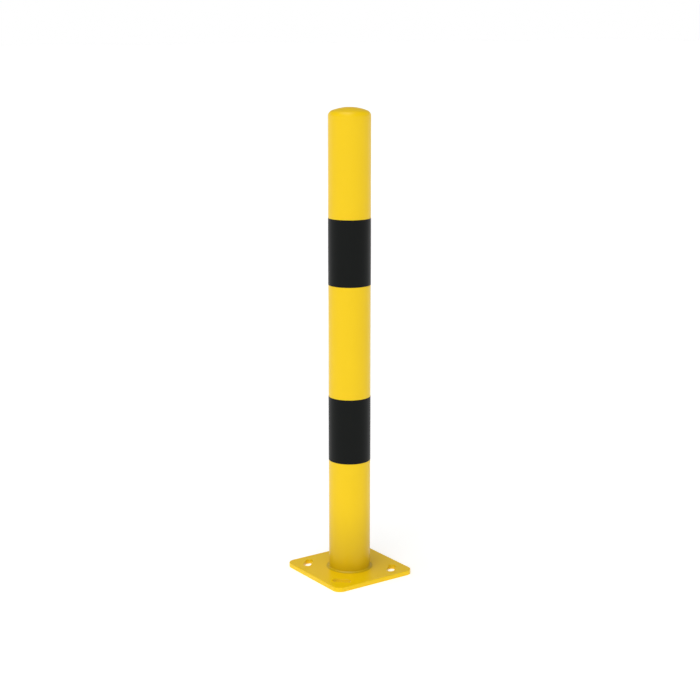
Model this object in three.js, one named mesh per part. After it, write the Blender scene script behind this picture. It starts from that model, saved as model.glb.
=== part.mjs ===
// Steel safety bollard for bolting down: a round tube with a welded domed cap, standing on a
// square foot plate with four anchor slots, and two black film bands round the yellow tube.
// Millimetres, +Z up. The origin is the middle of the foot plate's underside.
import * as THREE from 'three';

// Driving dimensions
const TOTAL_HEIGHT = 1000;
const TUBE_DIAMETER = 88.9;
const TUBE_WALL = 3;

const PLATE_SIDE = 200;
const PLATE_THICKNESS = 10;
const PLATE_CORNER_RADIUS = 18;
const PLATE_EDGE_BREAK = 0.8;
const VENT_DIAMETER = 25;

const SLOT_SPACING = 130;
const SLOT_LENGTH = 40;
const SLOT_WIDTH = 16;

const CROWN_RADIUS = 100;
const KNUCKLE_RADIUS = 12;
const CAP_SEAM_HEIGHT = 976;
const CAP_WELD_WIDTH = 2;
const CAP_WELD_CROWN = 0.15;

const BASE_WELD_LEG = 3;
const BASE_WELD_TOE = 0.3;
const BASE_WELD_THROAT = 0.45 * BASE_WELD_LEG;

const BAND_WIDTH = 140;
const LOWER_BAND_BOTTOM = 253;
const UPPER_BAND_BOTTOM = 633;
const FILM_THICKNESS = 0.3;

// Clearance left between pieces that touch
const CONTACT_GAP = 0.05;

// Every round piece has the same number of flats, so that their faces lie parallel
const FLATS_AROUND = 72;
const FLATS_PER_ARC = 12;
const FLATS_OUTSIDE_KNUCKLE = 6;
const FLATS_OUTSIDE_CROWN = 7;
const FLATS_INSIDE_CAP = 4;

const TUBE_RADIUS = TUBE_DIAMETER / 2;
const BORE_RADIUS = TUBE_RADIUS - TUBE_WALL;
const CAP_SEAM_BOTTOM = CAP_SEAM_HEIGHT - CAP_WELD_WIDTH / 2;
const CAP_SEAM_TOP = CAP_SEAM_HEIGHT + CAP_WELD_WIDTH / 2;

const yellowCoat = new THREE.MeshStandardMaterial({ color: '#f8d121', roughness: 0.35, metalness: 0 });
const blackFilm = new THREE.MeshStandardMaterial({ color: '#1c1e1d', roughness: 0.4, metalness: 0 });

const piece = (name, geometry, material) => {
  const mesh = new THREE.Mesh(geometry, material.clone());
  mesh.name = name;
  return mesh;
};

// A turned piece: the profile holds [radius, height] pairs, up the outside and down the inside
const turned = (profile) => {
  const points = profile.map(([radius, height]) => new THREE.Vector2(radius, height));
  const geometry = new THREE.LatheGeometry(points, FLATS_AROUND);
  return geometry.rotateX(Math.PI / 2);
};

// A plain sleeve of rectangular section
const sleeve = (inner, outer, bottom, top) => turned([
  [inner, bottom],
  [outer, bottom],
  [outer, top],
  [inner, top],
  [inner, bottom],
]);

// Points of an arc in the profile plane, both ends included
const arc = (centreRadius, centreHeight, radius, from, to, steps) => {
  const points = [];
  for (let step = 0; step <= steps; step += 1) {
    const angle = from + ((to - from) * step) / steps;
    points.push([centreRadius + radius * Math.cos(angle), centreHeight + radius * Math.sin(angle)]);
  }
  return points;
};

// Foot plate: cut from flat stock, corners rounded, edges broken, one slot across each diagonal
const plateOutline = () => {
  const half = PLATE_SIDE / 2;
  const inset = half - PLATE_CORNER_RADIUS;
  const quarter = Math.PI / 2;
  const outline = new THREE.Shape();
  outline.absarc(inset, inset, PLATE_CORNER_RADIUS, 0, quarter);
  outline.absarc(-inset, inset, PLATE_CORNER_RADIUS, quarter, 2 * quarter);
  outline.absarc(-inset, -inset, PLATE_CORNER_RADIUS, 2 * quarter, 3 * quarter);
  outline.absarc(inset, -inset, PLATE_CORNER_RADIUS, 3 * quarter, 4 * quarter);
  outline.closePath();
  return outline;
};

const slotOutline = (diagonal) => {
  const fromCentre = (SLOT_SPACING / 2) * Math.SQRT2;
  const reach = (SLOT_LENGTH - SLOT_WIDTH) / 2;
  const x = fromCentre * Math.cos(diagonal);
  const y = fromCentre * Math.sin(diagonal);
  const alongX = -reach * Math.sin(diagonal);
  const alongY = reach * Math.cos(diagonal);
  const slot = new THREE.Path();
  slot.absarc(x + alongX, y + alongY, SLOT_WIDTH / 2, diagonal, diagonal + Math.PI);
  slot.absarc(x - alongX, y - alongY, SLOT_WIDTH / 2, diagonal + Math.PI, diagonal + 2 * Math.PI);
  slot.closePath();
  return slot;
};

const basePlate = () => {
  const outline = plateOutline();
  for (let corner = 0; corner < 4; corner += 1) {
    outline.holes.push(slotOutline(Math.PI / 4 + (corner * Math.PI) / 2));
  }
  const vent = new THREE.Path();
  vent.absarc(0, 0, VENT_DIAMETER / 2, 0, Math.PI);
  vent.absarc(0, 0, VENT_DIAMETER / 2, Math.PI, 2 * Math.PI);
  outline.holes.push(vent);
  const geometry = new THREE.ExtrudeGeometry(outline, {
    depth: PLATE_THICKNESS - 2 * PLATE_EDGE_BREAK,
    bevelEnabled: true,
    bevelThickness: PLATE_EDGE_BREAK,
    bevelSize: PLATE_EDGE_BREAK,
    bevelOffset: -PLATE_EDGE_BREAK,
    bevelSegments: 1,
    curveSegments: FLATS_PER_ARC / 2,
  });
  return geometry.translate(0, 0, PLATE_EDGE_BREAK);
};

// Tube: sawn square at both ends, standing on the plate
const postTube = () => sleeve(
  BORE_RADIUS,
  TUBE_RADIUS,
  PLATE_THICKNESS + CONTACT_GAP,
  CAP_SEAM_BOTTOM - CONTACT_GAP,
);

// Fillet weld round the foot: equal legs, a slightly hollow face and thin toes
const baseWeld = () => {
  const inner = TUBE_RADIUS + CONTACT_GAP;
  const bottom = PLATE_THICKNESS + CONTACT_GAP;
  return turned([
    [inner, bottom],
    [inner + BASE_WELD_LEG, bottom],
    [inner + BASE_WELD_LEG, bottom + BASE_WELD_TOE],
    [inner + BASE_WELD_THROAT, bottom + BASE_WELD_THROAT],
    [inner + BASE_WELD_TOE, bottom + BASE_WELD_LEG],
    [inner, bottom + BASE_WELD_LEG],
    [inner, bottom],
  ]);
};

// Butt weld between tube and cap, ground back until only a slight crown stands out
const capWeld = () => turned([
  [BORE_RADIUS, CAP_SEAM_BOTTOM],
  [TUBE_RADIUS, CAP_SEAM_BOTTOM],
  [TUBE_RADIUS + CAP_WELD_CROWN, CAP_SEAM_HEIGHT],
  [TUBE_RADIUS, CAP_SEAM_TOP],
  [BORE_RADIUS, CAP_SEAM_TOP],
  [BORE_RADIUS, CAP_SEAM_BOTTOM],
]);

// Domed cap: a pressed shell of the tube's wall thickness. The crown is part of a sphere, and a
// rounded knuckle joins it to the straight side.
const domedCap = () => {
  const crownCentre = TOTAL_HEIGHT - CROWN_RADIUS;
  const knuckleCentre = TUBE_RADIUS - KNUCKLE_RADIUS;
  const knuckleHeight = crownCentre
    + Math.sqrt((CROWN_RADIUS - KNUCKLE_RADIUS) ** 2 - knuckleCentre ** 2);
  const tangent = Math.atan2(knuckleHeight - crownCentre, knuckleCentre);
  const top = Math.PI / 2;
  const bottom = CAP_SEAM_TOP + CONTACT_GAP;
  const insideKnuckle = KNUCKLE_RADIUS - TUBE_WALL;
  const insideCrown = CROWN_RADIUS - TUBE_WALL;
  const profile = [
    [BORE_RADIUS, bottom],
    [TUBE_RADIUS, bottom],
    ...arc(knuckleCentre, knuckleHeight, KNUCKLE_RADIUS, 0, tangent, FLATS_OUTSIDE_KNUCKLE),
    ...arc(0, crownCentre, CROWN_RADIUS, tangent, top, FLATS_OUTSIDE_CROWN).slice(1, -1),
    [0, TOTAL_HEIGHT],
  ];
  const inside = [
    [0, TOTAL_HEIGHT - TUBE_WALL],
    ...arc(0, crownCentre, insideCrown, top, tangent, FLATS_INSIDE_CAP).slice(1),
    ...arc(knuckleCentre, knuckleHeight, insideKnuckle, tangent, 0, FLATS_INSIDE_CAP).slice(1),
    [BORE_RADIUS, bottom],
  ];
  return turned([...profile, ...inside]);
};

// Film band: wrapped tight round the coated tube
const filmBand = (bottom) => {
  const inner = TUBE_RADIUS + CONTACT_GAP;
  return sleeve(inner, inner + FILM_THICKNESS, bottom, bottom + BAND_WIDTH);
};

const bollard = new THREE.Group();
bollard.add(
  piece('base_plate', basePlate(), yellowCoat),
  piece('base_weld', baseWeld(), yellowCoat),
  piece('post_tube', postTube(), yellowCoat),
  piece('cap_weld', capWeld(), yellowCoat),
  piece('domed_cap', domedCap(), yellowCoat),
  piece('lower_black_band', filmBand(LOWER_BAND_BOTTOM), blackFilm),
  piece('upper_black_band', filmBand(UPPER_BAND_BOTTOM), blackFilm),
);

export default bollard;
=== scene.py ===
import math

import bmesh
import bpy
from mathutils import Matrix, Vector, noise


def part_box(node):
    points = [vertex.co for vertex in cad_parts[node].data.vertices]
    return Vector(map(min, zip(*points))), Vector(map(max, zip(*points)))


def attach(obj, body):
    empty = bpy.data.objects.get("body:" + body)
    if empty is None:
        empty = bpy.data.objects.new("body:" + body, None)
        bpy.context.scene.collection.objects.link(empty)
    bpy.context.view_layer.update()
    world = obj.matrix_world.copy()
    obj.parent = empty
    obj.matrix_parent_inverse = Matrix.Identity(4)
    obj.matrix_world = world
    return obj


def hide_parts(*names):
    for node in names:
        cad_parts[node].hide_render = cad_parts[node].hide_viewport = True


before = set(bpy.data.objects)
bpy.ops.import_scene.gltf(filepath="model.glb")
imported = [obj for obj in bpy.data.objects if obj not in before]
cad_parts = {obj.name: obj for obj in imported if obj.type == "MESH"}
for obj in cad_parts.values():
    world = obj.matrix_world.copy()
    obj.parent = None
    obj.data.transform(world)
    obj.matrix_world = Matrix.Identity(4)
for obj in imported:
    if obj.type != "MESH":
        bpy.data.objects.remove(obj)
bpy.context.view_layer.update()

# ---------------------------------------------------------------------------------------------
# Camera: three metres off at chest height with a long lens, looking down a little at the post
# and towards one corner of its foot plate.
camera_distance = 3.0545
camera_height = 1.175
camera_bearing = math.radians(-34.87)
aim_height = 0.4919
aim_aside = 0.001
aim = Vector((aim_aside * math.cos(camera_bearing), aim_aside * math.sin(camera_bearing), aim_height))

camera_data = bpy.data.cameras.new("camera")
camera_data.sensor_width = 36.0
camera_data.lens = 76.14
camera = bpy.data.objects.new("camera", camera_data)
bpy.context.scene.collection.objects.link(camera)
camera.location = (
    camera_distance * math.sin(camera_bearing),
    -camera_distance * math.cos(camera_bearing),
    camera_height,
)
camera.rotation_mode = "QUATERNION"
camera.rotation_quaternion = (aim - camera.location).to_track_quat("-Z", "Y")
bpy.context.scene.camera = camera

# ---------------------------------------------------------------------------------------------
# Foot plate: 10 mm flat steel, cut to a square with round corners and four anchor slots, each
# across a diagonal. A vent hole opens the tube from below. All cut edges are broken.
UP = (0.0, 0.0, 1.0)
plate_low, plate_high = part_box("base_plate")
plate_half = plate_high.x
plate_top = plate_high.z
plate_corner = 0.018
edge_break = 0.0008
vent_radius = 0.0125
slot_centre = 0.065 * math.sqrt(2.0)
slot_reach = 0.012
slot_half_width = 0.008
flat_hold = 0.0008
corner_steps = 20
slot_end_steps = 24
vent_steps = 64
rim_steps = 4
merge_distance = 1e-6
cut_tolerance = 1e-7


def draw_straight(bm, end, to):
    """Draws a straight run on from the end of an outline and returns the new end."""
    new_end = bmesh.ops.extrude_vert_indiv(bm, verts=[end])["verts"][0]
    new_end.co = to
    return new_end


def draw_flat(bm, end, to):
    """Draws a straight run whose short end stretches keep its shading flat up to the arcs."""
    to = Vector(to)
    hold = (to - end.co).normalized() * flat_hold
    end = draw_straight(bm, end, end.co + hold)
    end = draw_straight(bm, end, to - hold)
    return draw_straight(bm, end, to)


def draw_arc(bm, end, centre, axis, angle, steps):
    """Draws an arc on from the end of an outline and returns the new end."""
    arc = bmesh.ops.spin(bm, geom=[end], cent=centre, axis=axis, angle=angle, steps=steps)
    return next(part for part in arc["geom_last"] if isinstance(part, bmesh.types.BMVert))


def draw_plate_outline(bm):
    corner_start = Vector((plate_half - plate_corner, -plate_half, 0.0))
    corner_centre = Vector((plate_half - plate_corner, -plate_half + plate_corner, 0.0))
    end = bm.verts.new(corner_start)
    for quarter in range(4):
        turn = Matrix.Rotation(quarter * math.pi / 2, 3, "Z")
        end = draw_arc(bm, end, turn @ corner_centre, UP, math.pi / 2, corner_steps)
        turn = Matrix.Rotation((quarter + 1) * math.pi / 2, 3, "Z")
        end = draw_flat(bm, end, turn @ corner_start)


def draw_slot_outline(bm, diagonal):
    others = set(bm.verts)
    end = bm.verts.new((slot_reach, -slot_half_width, 0.0))
    for side in (1.0, -1.0):
        end = draw_arc(bm, end, (side * slot_reach, 0.0, 0.0), UP, math.pi, slot_end_steps)
        end = draw_flat(bm, end, (-side * slot_reach, side * slot_half_width, 0.0))
    across = Matrix.Rotation(math.pi / 2, 4, "Z")
    outwards = Matrix.Translation((slot_centre, 0.0, 0.0))
    place = Matrix.Rotation(diagonal, 4, "Z") @ outwards @ across
    bmesh.ops.transform(bm, matrix=place, verts=[v for v in bm.verts if v not in others])


def hold_shading(bm, *heights):
    """Cuts level rings through the walls, between which the shading stays flat."""
    for height in heights:
        bmesh.ops.bisect_plane(
            bm, geom=bm.verts[:] + bm.edges[:] + bm.faces[:], dist=cut_tolerance,
            plane_co=(0.0, 0.0, height), plane_no=UP,
        )


def round_rim(bm, faces, radius, steps):
    """Rounds the rim of a flat region by ever smaller steps inwards and outwards."""
    for step in range(steps):
        low = step / steps * math.pi / 2
        high = (step + 1) / steps * math.pi / 2
        bmesh.ops.inset_region(
            bm, faces=faces, use_boundary=True, use_even_offset=True,
            thickness=radius * (math.cos(low) - math.cos(high)),
            depth=radius * (math.sin(high) - math.sin(low)),
        )
    bmesh.ops.inset_region(
        bm, faces=faces, use_boundary=True, use_even_offset=True, thickness=radius / 2, depth=0.0
    )


def finish_piece(name, bm, nodes):
    """Makes a bmesh into a smooth-shaded piece that stands for its CAD nodes."""
    mesh = bpy.data.meshes.new(name)
    bm.to_mesh(mesh)
    bm.free()
    mesh.shade_smooth()
    piece = bpy.data.objects.new(name, mesh)
    bpy.context.scene.collection.objects.link(piece)
    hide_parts(*nodes)
    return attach(piece, "root")


bm = bmesh.new()
draw_plate_outline(bm)
for corner in range(4):
    draw_slot_outline(bm, math.pi / 4 + corner * math.pi / 2)
bmesh.ops.create_circle(bm, radius=vent_radius, segments=vent_steps)
bmesh.ops.remove_doubles(bm, verts=bm.verts[:], dist=merge_distance)
bmesh.ops.triangle_fill(bm, use_beauty=True, edges=bm.edges[:])
raised = bmesh.ops.extrude_face_region(bm, geom=bm.faces[:])["geom"]
bmesh.ops.translate(
    bm, vec=(0.0, 0.0, plate_top - 2 * edge_break),
    verts=[part for part in raised if isinstance(part, bmesh.types.BMVert)],
)
bmesh.ops.translate(bm, vec=(0.0, 0.0, edge_break), verts=bm.verts[:])
bmesh.ops.recalc_face_normals(bm, faces=bm.faces[:])
for side in (1.0, -1.0):
    flat = [face for face in bm.faces if face.normal.z * side > 0.5]
    round_rim(bm, flat, edge_break, rim_steps)
hold_shading(bm, edge_break + flat_hold, plate_top - edge_break - flat_hold)
foot_plate = finish_piece("foot_plate", bm, ["base_plate"])

# ---------------------------------------------------------------------------------------------
# Tube: a round structural tube, 88.9 mm outside with a 3 mm wall, sawn square and deburred.
tube_low, tube_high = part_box("post_tube")
tube_radius = tube_high.x
tube_wall = 0.003
bore_radius = tube_radius - tube_wall
saw_break = 0.0004
around = 192
AXIS = (0.0, 0.0, 0.0)


def turn_profile(bm, steps):
    """Turns the profile drawn in the XZ plane once round the upright axis."""
    bmesh.ops.spin(
        bm, geom=bm.verts[:] + bm.edges[:], cent=AXIS, axis=UP,
        angle=2 * math.pi, steps=steps, use_merge=True,
    )
    bmesh.ops.remove_doubles(bm, verts=bm.verts[:], dist=merge_distance)
    bmesh.ops.recalc_face_normals(bm, faces=bm.faces[:])


def draw_ring_section(bm, inner, outer, low, high, corner, steps):
    """Draws a closed rectangular section with rounded corners for turning."""
    corners = [(inner, low), (outer, low), (outer, high), (inner, high)]
    verts = [bm.verts.new((radius, 0.0, height)) for radius, height in corners]
    for index, vert in enumerate(verts):
        bm.edges.new((vert, verts[(index + 1) % 4]))
    bmesh.ops.bevel(
        bm, geom=verts, offset=corner, segments=steps, profile=0.5,
        affect="VERTICES", material=-1, clamp_overlap=True,
    )


bm = bmesh.new()
draw_ring_section(bm, bore_radius, tube_radius, tube_low.z, tube_high.z, saw_break, steps=3)
turn_profile(bm, around)
hold_shading(bm, tube_low.z + flat_hold, tube_high.z - flat_hold)
tube = finish_piece("tube", bm, ["post_tube"])

# ---------------------------------------------------------------------------------------------
# Fillet weld round the foot: one run of wire, laid in small overlapping pools that show as fine
# ripples under the coat. Where the run closes on its own start the bead is a little fuller.
weld_low, weld_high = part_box("base_weld")
weld_leg = weld_high.x - tube_radius
weld_size = weld_leg + 0.0001
weld_bite = 0.0002
weld_hollow = 0.26
weld_face_steps = 10
weld_ripples = 118
steps_per_ripple = 8
ripple_height = 0.00011
ripple_middle = 0.6
ripple_bow = 0.55
wander_height = 0.00012
wander_scale = 6.0
close_bearing = math.radians(62.0)
close_width = 0.09
close_height = 0.00025


def weld_bead(angle, across):
    """How far the bead stands out at a place round the foot and across its face."""
    bowed = angle * weld_ripples / (2 * math.pi) + ripple_bow * (across - 0.5) ** 2 * 4
    pool = abs(math.sin(math.pi * bowed)) ** 0.7
    wander = noise.noise(Vector((math.cos(angle), math.sin(angle), 0.0)) * wander_scale)
    closing = math.exp(-((angle - close_bearing) / close_width) ** 2)
    stand = ripple_height * (pool - ripple_middle) + wander_height * wander + close_height * closing
    return math.sin(math.pi * across) * stand


bm = bmesh.new()
root = Vector((tube_radius - weld_bite, 0.0, plate_top - weld_bite))
first = end = bm.verts.new(root)
for step in range(weld_face_steps + 1):
    share = step / weld_face_steps
    hollow = 1.0 - weld_hollow * math.sin(math.pi * share)
    out = weld_size * math.cos(share * math.pi / 2) * hollow
    rise = weld_size * math.sin(share * math.pi / 2) * hollow
    end = draw_straight(bm, end, root + Vector((out, 0.0, rise)))
bm.edges.new((end, first))
turn_profile(bm, weld_ripples * steps_per_ripple)
for vert in bm.verts:
    reach = Vector((vert.co.x, vert.co.y, 0.0))
    out = reach.length - root.x
    rise = vert.co.z - root.z
    from_root = math.hypot(out, rise)
    if from_root < weld_leg / 4:
        continue
    across = math.atan2(rise, out) / (math.pi / 2)
    stand = weld_bead(math.atan2(vert.co.y, vert.co.x), across)
    vert.co += (reach.normalized() * out + Vector((0.0, 0.0, rise))) / from_root * stand
foot_weld = finish_piece("foot_weld", bm, ["base_weld"])

# ---------------------------------------------------------------------------------------------
# Domed cap: a pressed steel end of the tube's own diameter and wall. Its shallow crown is part
# of a sphere, and a rounded knuckle leads into the short straight side.
cap_low, cap_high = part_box("domed_cap")
crown_radius = 0.100
knuckle_radius = 0.012
lip_break = 0.0004
crown_steps = 24
knuckle_steps = 20
crown_centre = Vector((0.0, 0.0, cap_high.z - crown_radius))
knuckle_out = tube_radius - knuckle_radius
knuckle_up = math.sqrt((crown_radius - knuckle_radius) ** 2 - knuckle_out ** 2)
knuckle_centre = Vector((knuckle_out, 0.0, crown_centre.z + knuckle_up))
crown_angle = math.atan2(knuckle_out, knuckle_up)
knuckle_angle = math.pi / 2 - crown_angle
RIGHT = (0.0, 1.0, 0.0)
LEFT = (0.0, -1.0, 0.0)

bm = bmesh.new()
end = bm.verts.new((0.0, 0.0, cap_high.z))
end = draw_arc(bm, end, crown_centre, RIGHT, crown_angle, crown_steps)
end = draw_arc(bm, end, knuckle_centre, RIGHT, knuckle_angle, knuckle_steps)
end = draw_straight(bm, end, (tube_radius, 0.0, knuckle_centre.z - flat_hold))
end = draw_straight(bm, end, (tube_radius, 0.0, cap_low.z + lip_break + flat_hold))
end = draw_straight(bm, end, (tube_radius, 0.0, cap_low.z + lip_break))
end = draw_straight(bm, end, (tube_radius - lip_break / 4, 0.0, cap_low.z + lip_break / 4))
end = draw_straight(bm, end, (tube_radius - lip_break, 0.0, cap_low.z))
end = draw_straight(bm, end, (bore_radius, 0.0, cap_low.z))
end = draw_straight(bm, end, (bore_radius, 0.0, knuckle_centre.z))
end = draw_arc(bm, end, knuckle_centre, LEFT, knuckle_angle, knuckle_steps // 2)
end = draw_arc(bm, end, crown_centre, LEFT, crown_angle, crown_steps // 2)
turn_profile(bm, around)
cap = finish_piece("cap", bm, ["domed_cap"])

# ---------------------------------------------------------------------------------------------
# Cap weld: a full butt weld, ground back after welding, so that only a faint raised line with
# soft edges is left under the coat.
seam_low, seam_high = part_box("cap_weld")
seam_crown = seam_high.x - tube_radius
seam_half = (seam_high.z - seam_low.z) / 2
seam_middle = (seam_high.z + seam_low.z) / 2
seam_spread = 1.15
seam_sink = 0.00008
seam_steps = 4
grind_height = 0.00004
grind_scale = 160.0

bm = bmesh.new()
first = end = bm.verts.new((bore_radius, 0.0, seam_low.z))
for step in range(-seam_steps, seam_steps + 1):
    share = step / seam_steps
    stand = seam_crown * math.cos(share * math.pi / 2) - seam_sink
    height = seam_middle + share * seam_half * seam_spread
    end = draw_straight(bm, end, (tube_radius + stand, 0.0, height))
end = draw_straight(bm, end, (bore_radius, 0.0, seam_high.z))
bm.edges.new((end, first))
turn_profile(bm, around * 2)
for vert in bm.verts:
    reach = Vector((vert.co.x, vert.co.y, 0.0))
    if reach.length > tube_radius:
        vert.co += reach.normalized() * grind_height * noise.noise(vert.co * grind_scale)
cap_seam = finish_piece("cap_seam", bm, ["cap_weld"])


# ---------------------------------------------------------------------------------------------
# Powder coat: one baked coat of yellow polyester powder over all the welded steel. It has a
# fine orange peel, and its gloss and tone drift very slightly over the surface. Painted shade darkens
# its colour on the walls of the slots, along the weld and, fading out upwards, over the foot of the
# tube.
class Link:
    """A shader socket that can be used in sums. Each sum adds a Math node."""

    def __init__(self, tree, socket):
        self.tree = tree
        self.socket = socket

    def sum_node(self, operation, first, second):
        made = self.tree.nodes.new("ShaderNodeMath")
        made.operation = operation
        for slot_index, value in enumerate((first, second)):
            if isinstance(value, Link):
                self.tree.links.new(value.socket, made.inputs[slot_index])
            else:
                made.inputs[slot_index].default_value = value
        return Link(self.tree, made.outputs[0])

    def __add__(self, other):
        return self.sum_node("ADD", self, other)

    __radd__ = __add__

    def __sub__(self, other):
        return self.sum_node("SUBTRACT", self, other)

    def __rsub__(self, other):
        return self.sum_node("SUBTRACT", other, self)

    def __mul__(self, other):
        return self.sum_node("MULTIPLY", self, other)

    __rmul__ = __mul__

    def size(self):
        return self.sum_node("ABSOLUTE", self, 0.0)

    def at_least(self, other):
        return self.sum_node("MAXIMUM", self, other)

    def root(self):
        return self.sum_node("SQRT", self, 0.0)

    def fade(self, full, none):
        """1 where the value is at full, 0 where it is at none, and smooth in between."""
        made = self.tree.nodes.new("ShaderNodeMapRange")
        made.interpolation_type = "SMOOTHSTEP"
        made.inputs["From Min"].default_value = full
        made.inputs["From Max"].default_value = none
        made.inputs["To Min"].default_value = 1.0
        made.inputs["To Max"].default_value = 0.0
        self.tree.links.new(self.socket, made.inputs["Value"])
        return Link(self.tree, made.outputs[0])


class Finish:
    """A material under construction: its tree, its shader and its surface coordinates."""

    def __init__(self, name):
        self.material = bpy.data.materials.new(name)
        self.material.use_nodes = True
        self.tree = self.material.node_tree
        self.shader = self.tree.nodes["Principled BSDF"]
        self.place = self.node("ShaderNodeTexCoord", "Object")

    def node(self, kind, output, settings=(), **sockets):
        """Adds a node and returns one output. Settings are set before the sockets."""
        made = self.tree.nodes.new(kind)
        for name, value in dict(settings).items():
            setattr(made, name, value)
        for name, value in sockets.items():
            self.feed(made.inputs[name.replace("_", " ")], value)
        return Link(self.tree, made.outputs[output])

    def feed(self, socket, value):
        if isinstance(value, Link):
            self.tree.links.new(value.socket, socket)
        else:
            socket.default_value = value

    def set(self, **sockets):
        for name, value in sockets.items():
            self.feed(self.shader.inputs[name.replace("_", " ")], value)

    def axes(self):
        """The surface coordinates one by one."""
        made = self.tree.nodes.new("ShaderNodeSeparateXYZ")
        self.feed(made.inputs[0], self.place)
        return [Link(self.tree, output) for output in made.outputs]

    def noise(self, scale, detail=2.0, roughness=0.5):
        return self.node(
            "ShaderNodeTexNoise", "Fac", Vector=self.place,
            Scale=scale, Detail=detail, Roughness=roughness,
        )

    def blend(self, share, first, second):
        """Mixes two colours."""
        made = self.tree.nodes.new("ShaderNodeMix")
        made.data_type = "RGBA"
        self.feed(made.inputs[0], share)
        self.feed(made.inputs[6], first)
        self.feed(made.inputs[7], second)
        return Link(self.tree, made.outputs[2])


coat = Finish("yellow_powder_coat")
coat_yellow = (0.970, 0.646, 0.0010, 1.0)
coat_deep_yellow = (0.940, 0.618, 0.0008, 1.0)
# Painted shade: this dark yellow stands in for the shade at the foot, along the weld and inside the
# slots.
painted_shade_yellow = (0.400, 0.275, 0.0010, 1.0)
top_full = -0.0005
top_none = -0.0015
toe_radius = 0.0475
corner_height = 0.180
corner_reach = 0.0530
corner_shade = 0.40
weld_line_low = 0.0020
weld_line_high = 0.0300
weld_line_reach = 0.0520
weld_shade = 0.17
slot_skin = 0.0001
slot_blend = 0.0006
slot_shade = 0.22

east, north, height = coat.axes()
from_axis = (east * east + north * north).root()
above_plate = height - plate_top
on_top = above_plate.fade(top_full, top_none)
# Painted shade: the tube darkens towards the plate over its lowest 180 mm, and more along the weld, in
# place of the corner's shade.
painted_corner_shade = above_plate.fade(0.0, corner_height) * from_axis.fade(toe_radius, corner_reach)
painted_weld_shade = above_plate.fade(weld_line_low, weld_line_high) * from_axis.fade(toe_radius, weld_line_reach)
# Painted shade: the walls of the anchor slots are darkened where shadow falls inside them.
out_of_slot = (east.size() + north.size()) * math.sqrt(0.5) - slot_centre
along_slot = ((east.size() - north.size()) * math.sqrt(0.5)).size() - slot_reach
past_slot_end = along_slot.at_least(0.0)
from_slot = (out_of_slot * out_of_slot + past_slot_end * past_slot_end).root() - slot_half_width
painted_slot_shade = from_slot.fade(slot_skin, slot_blend)
# All the painted shade, blended into the coat's colour below.
foot_painted_shade = on_top * (painted_corner_shade * corner_shade + painted_weld_shade * weld_shade)
painted_shade_share = foot_painted_shade + painted_slot_shade * slot_shade

drift = coat.noise(9.0, detail=3.0)
peel = coat.noise(420.0, detail=1.5)
fine_peel = coat.noise(1500.0, detail=1.0)
relief = peel + fine_peel * 0.3
coat.set(
    Base_Color=coat.blend(
        painted_shade_share, coat.blend(drift, coat_yellow, coat_deep_yellow), painted_shade_yellow
    ),
    Roughness=0.30 + drift * 0.08,
    Specular_IOR_Level=0.28,
    Normal=coat.node("ShaderNodeBump", "Normal", Strength=0.30, Distance=0.0004, Height=relief),
)
for piece in (foot_plate, tube, foot_weld, cap, cap_seam):
    piece.data.materials.append(coat.material)

# ---------------------------------------------------------------------------------------------
# Black bands: satin self-adhesive film, wrapped once round the coated tube and lapped over its
# own start at the back, where the upper end shows as a fine upright step.
film_gap = 0.00005
film_thickness = 0.0003
film_corner = 0.00008
lap_bearing = math.radians(55.0)
lap_ramp = 0.003 / tube_radius
lap_angle = 0.012 / tube_radius
lap_clearance = 1.08
lap_steps = 40


def wrap_film(bm, end, angle, steps):
    """Wraps the film on from its open end and returns the new end."""
    wrapped = bmesh.ops.spin(bm, geom=end, cent=AXIS, axis=UP, angle=angle, steps=steps)
    return [part for part in wrapped["geom_last"] if isinstance(part, bmesh.types.BMEdge)]


def wrap_band(node):
    """One turn of film that climbs over its own start and ends square on top of it."""
    low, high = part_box(node)
    inner = tube_radius + film_gap
    bm = bmesh.new()
    draw_ring_section(bm, inner, inner + film_thickness, low.z, high.z, film_corner, steps=2)
    end = wrap_film(bm, bm.edges[:], 2 * math.pi - lap_ramp, around)
    first_turn = set(bm.verts)
    wrap_film(bm, end, lap_ramp + lap_angle, lap_steps)
    for vert in set(bm.verts) - first_turn:
        climbed = (math.atan2(vert.co.y, vert.co.x) + lap_ramp) % (2 * math.pi) / lap_ramp
        share = min(climbed, 1.0)
        lift = film_thickness * lap_clearance * share * share * (3 - 2 * share)
        vert.co += Vector((vert.co.x, vert.co.y, 0.0)).normalized() * lift
    bmesh.ops.holes_fill(bm, edges=bm.edges[:], sides=0)
    bmesh.ops.recalc_face_normals(bm, faces=bm.faces[:])
    bmesh.ops.rotate(bm, cent=AXIS, matrix=Matrix.Rotation(lap_bearing, 3, "Z"), verts=bm.verts[:])
    hold_shading(bm, low.z + flat_hold, high.z - flat_hold)
    return bm


film = Finish("black_film")
film_black = (0.0050, 0.0060, 0.0056, 1.0)
film_worn_black = (0.0068, 0.0078, 0.0073, 1.0)
film_drift = film.noise(14.0, detail=3.0)
film_grain = film.noise(2600.0, detail=1.0)
film.set(
    Base_Color=film.blend(film_drift, film_black, film_worn_black),
    Roughness=0.36 + film_drift * 0.08,
    Specular_IOR_Level=0.1,
    Normal=film.node("ShaderNodeBump", "Normal", Strength=0.05, Distance=0.0003, Height=film_grain),
)
lower_band = finish_piece("lower_band", wrap_band("lower_black_band"), ["lower_black_band"])
upper_band = finish_piece("upper_band", wrap_band("upper_black_band"), ["upper_black_band"])
for band in (lower_band, upper_band):
    band.data.materials.append(film.material)

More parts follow.
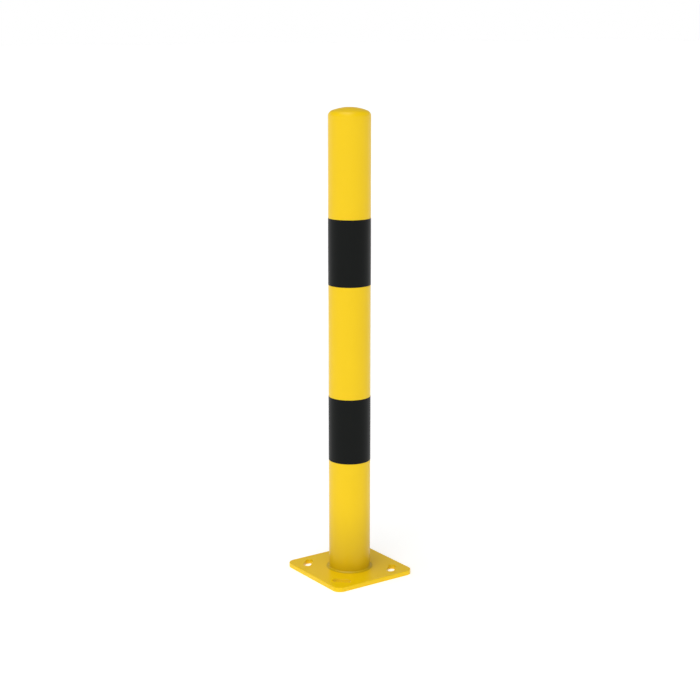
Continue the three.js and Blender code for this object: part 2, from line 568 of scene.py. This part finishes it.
# ---------------------------------------------------------------------------------------------
# Floor and light: a softly glowing white floor in a pale round room, lit by one broad soft lamp in
# front and one almost overhead, to the left. Both hang far off, so the light is even.
floor_reach = 60.0
bm = bmesh.new()
bmesh.ops.create_grid(bm, x_segments=1, y_segments=1, size=floor_reach)
floor_mesh = bpy.data.meshes.new("floor")
bm.to_mesh(floor_mesh)
bm.free()
floor = bpy.data.objects.new("floor", floor_mesh)
bpy.context.scene.collection.objects.link(floor)
floor_finish = Finish("floor_white")
floor_finish.set(
    Base_Color=(0.92, 0.92, 0.92, 1.0),
    Roughness=0.9,
    Emission_Color=(1.0, 1.0, 1.0, 1.0),
    Emission_Strength=0.37,
)
floor_mesh.materials.append(floor_finish.material)


def hang_lamp(name, bearing, height, spread, strength):
    """Hangs a far soft lamp. The bearing is counted from the camera, to its right."""
    lamp_data = bpy.data.lights.new(name, "SUN")
    lamp_data.energy = strength
    lamp_data.angle = math.radians(spread)
    lamp = bpy.data.objects.new(name, lamp_data)
    bpy.context.scene.collection.objects.link(lamp)
    turn = camera_bearing + math.radians(bearing)
    lift = math.radians(height)
    towards = Vector((math.sin(turn), -math.cos(turn), 0.0)) * math.cos(lift)
    towards.z = math.sin(lift)
    lamp.rotation_mode = "QUATERNION"
    lamp.rotation_quaternion = towards.to_track_quat("Z", "Y")


hang_lamp("front_lamp", -11.0, 38.0, 50.0, 0.68)
hang_lamp("overhead_lamp", -45.0, 76.0, 50.0, 1.28)

room = bpy.data.worlds.new("room")
room.use_nodes = True
room_nodes = room.node_tree.nodes
wall = room_nodes.new("ShaderNodeTexCoord")
wall_height = room_nodes.new("ShaderNodeSeparateXYZ")
wall_light = room_nodes.new("ShaderNodeMapRange")
wall_light.inputs["From Min"].default_value = 0.10
wall_light.inputs["From Max"].default_value = 0.30
wall_light.inputs["To Min"].default_value = 1.00
wall_light.inputs["To Max"].default_value = 0.20
room_nodes["Background"].inputs["Color"].default_value = (1.0, 1.0, 1.0, 1.0)
room.node_tree.links.new(wall.outputs["Generated"], wall_height.inputs[0])
room.node_tree.links.new(wall_height.outputs["Z"], wall_light.inputs["Value"])
room.node_tree.links.new(wall_light.outputs[0], room_nodes["Background"].inputs["Strength"])
bpy.context.scene.world = room

bpy.context.scene.view_settings.view_transform = "Standard"
